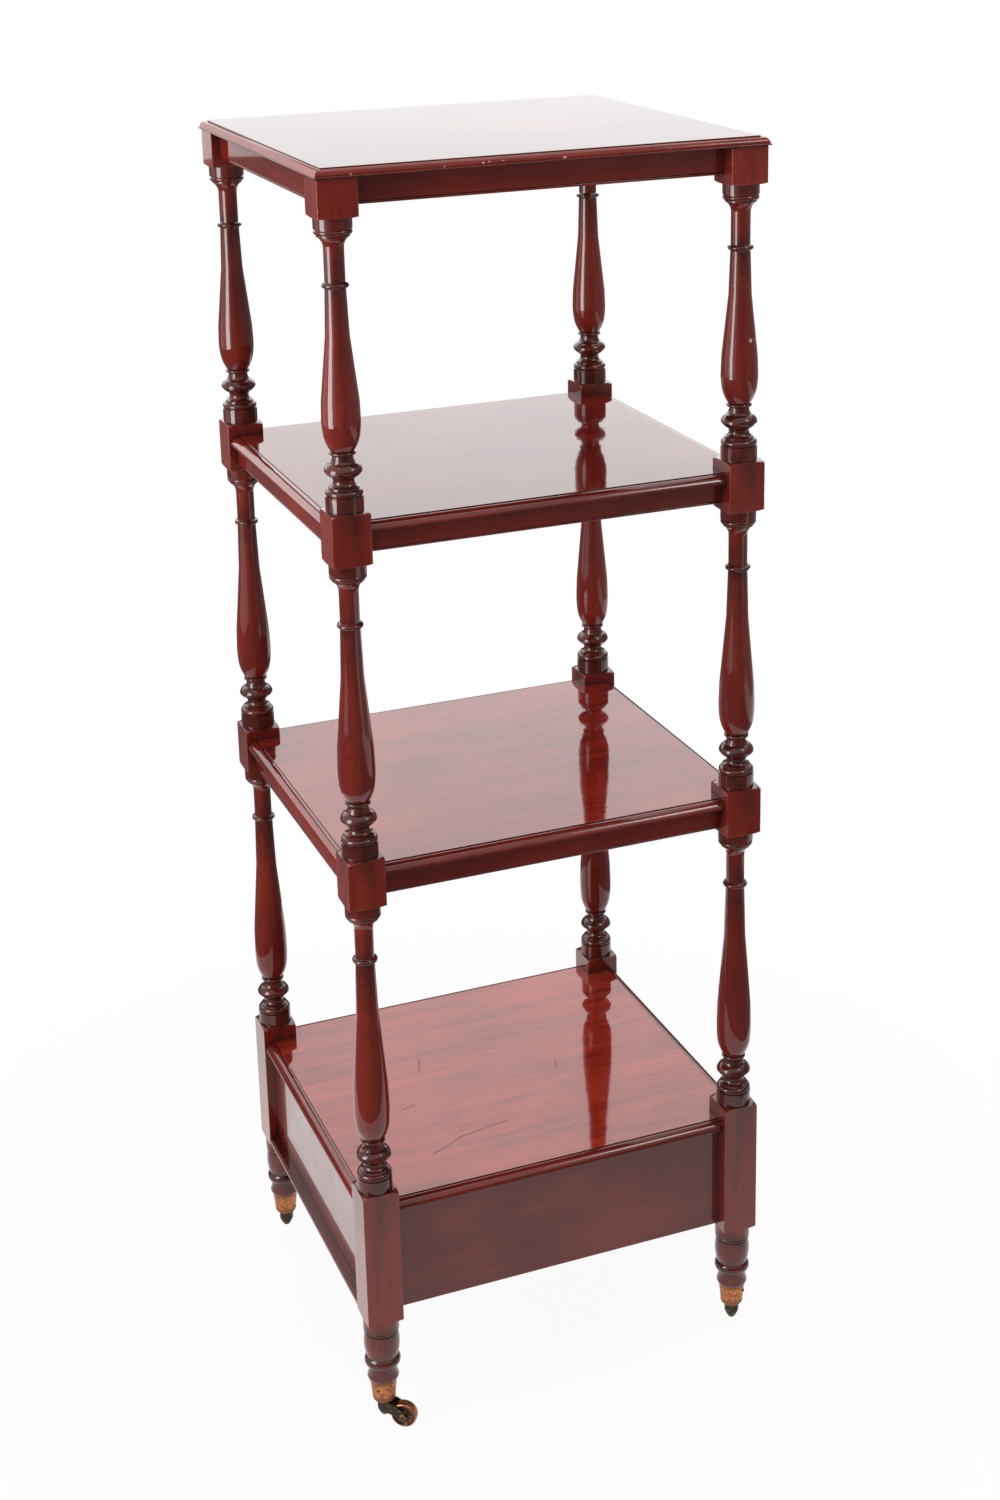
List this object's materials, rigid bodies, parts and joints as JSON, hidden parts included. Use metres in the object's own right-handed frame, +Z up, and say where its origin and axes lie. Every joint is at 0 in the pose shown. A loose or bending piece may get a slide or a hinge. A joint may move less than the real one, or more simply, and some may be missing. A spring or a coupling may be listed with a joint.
{
  "type": "etagere",
  "caption": "Free-standing tiered display stand: turned corner posts, moulded open shelves, a moulded top, a base drawer and swivelling castors.",
  "frame": {"origin": "on the floor, midway between the four uprights in plan", "axes": "+Z up; X along the long faces, the drawer opening towards -X; -Y is the front"},
  "size_m": [0.485, 0.4604, 1.421],
  "materials": {
    "mahogany": "French polished, deep red",
    "secondary_wood": "unpolished, planed",
    "brass": "worn and darkened"
  },
  "bodies": {
    "carcase": {"back_panel": "mahogany", "base_shelf": "mahogany", "castor_cup_back_left": "brass", "castor_cup_back_right": "brass", "castor_cup_front_left": "brass", "castor_cup_front_right": "brass", "castor_pin_back_left": "brass", "castor_pin_back_right": "brass", "castor_pin_front_left": "brass", "castor_pin_front_right": "brass", "castor_screws": "brass", "drawer_guides": "secondary_wood", "drawer_kickers": "secondary_wood", "drawer_rail": "mahogany", "drawer_runners": "secondary_wood", "drawer_stops": "secondary_wood", "end_panel": "mahogany", "end_rail": "mahogany", "front_panel": "mahogany", "middle_glue_blocks": "secondary_wood", "middle_rail_back": "mahogany", "middle_rail_front": "mahogany", "middle_rail_left": "mahogany", "middle_rail_right": "mahogany", "middle_shelf": "mahogany", "top_board": "mahogany", "top_glue_blocks": "secondary_wood", "top_rail_back": "mahogany", "top_rail_front": "mahogany", "top_rail_left": "mahogany", "top_rail_right": "mahogany", "upper_glue_blocks": "secondary_wood", "upper_rail_back": "mahogany", "upper_rail_front": "mahogany", "upper_rail_left": "mahogany", "upper_rail_right": "mahogany", "upper_shelf": "mahogany", "upright_back_left": "mahogany", "upright_back_right": "mahogany", "upright_front_left": "mahogany", "upright_front_right": "mahogany"},
    "drawer": {"drawer_front": "mahogany", "drawer_side_front": "secondary_wood", "drawer_side_back": "secondary_wood", "drawer_back": "secondary_wood", "drawer_bottom": "secondary_wood"},
    "swivel_front_left": {"castor_horn_front_left": "brass", "castor_axle_front_left": "brass"},
    "wheel_front_left": {"castor_wheel_front_left": "brass"},
    "swivel_front_right": {"castor_horn_front_right": "brass", "castor_axle_front_right": "brass"},
    "wheel_front_right": {"castor_wheel_front_right": "brass"},
    "swivel_back_right": {"castor_horn_back_right": "brass", "castor_axle_back_right": "brass"},
    "wheel_back_right": {"castor_wheel_back_right": "brass"},
    "swivel_back_left": {"castor_horn_back_left": "brass", "castor_axle_back_left": "brass"},
    "wheel_back_left": {"castor_wheel_back_left": "brass"}
  },
  "joints": [
    {"name": "drawer_slide", "type": "slide", "parent": "carcase", "child": "drawer", "axis": [-1, 0, 0], "range_m": [0, 0.3]},
    {"name": "castor_swivel_front_left", "type": "hinge", "parent": "carcase", "child": "swivel_front_left", "pos_m": [-0.219, -0.198, 0.022], "axis": [0, 0, 1], "continuous": true},
    {"name": "castor_roll_front_left", "type": "hinge", "parent": "swivel_front_left", "child": "wheel_front_left", "pos_m": [-0.20031, -0.21208, 0.015], "axis": [0.6018, 0.7986, 0], "continuous": true},
    {"name": "castor_swivel_front_right", "type": "hinge", "parent": "carcase", "child": "swivel_front_right", "pos_m": [0.219, -0.198, 0.022], "axis": [0, 0, 1], "continuous": true},
    {"name": "castor_roll_front_right", "type": "hinge", "parent": "swivel_front_right", "child": "wheel_front_right", "pos_m": [0.22999, -0.17734, 0.015], "axis": [-0.8829, 0.4695, 0], "continuous": true},
    {"name": "castor_swivel_back_right", "type": "hinge", "parent": "carcase", "child": "swivel_back_right", "pos_m": [0.219, 0.198, 0.022], "axis": [0, 0, 1], "continuous": true},
    {"name": "castor_roll_back_right", "type": "hinge", "parent": "swivel_back_right", "child": "wheel_back_right", "pos_m": [0.20801, 0.21866, 0.015], "axis": [-0.8829, -0.4695, 0], "continuous": true},
    {"name": "castor_swivel_back_left", "type": "hinge", "parent": "carcase", "child": "swivel_back_left", "pos_m": [-0.219, 0.198, 0.022], "axis": [0, 0, 1], "continuous": true},
    {"name": "castor_roll_back_left", "type": "hinge", "parent": "swivel_back_left", "child": "wheel_back_left", "pos_m": [-0.21294, 0.2206, 0.015], "axis": [-0.9659, 0.2588, 0], "continuous": true}
  ]
}
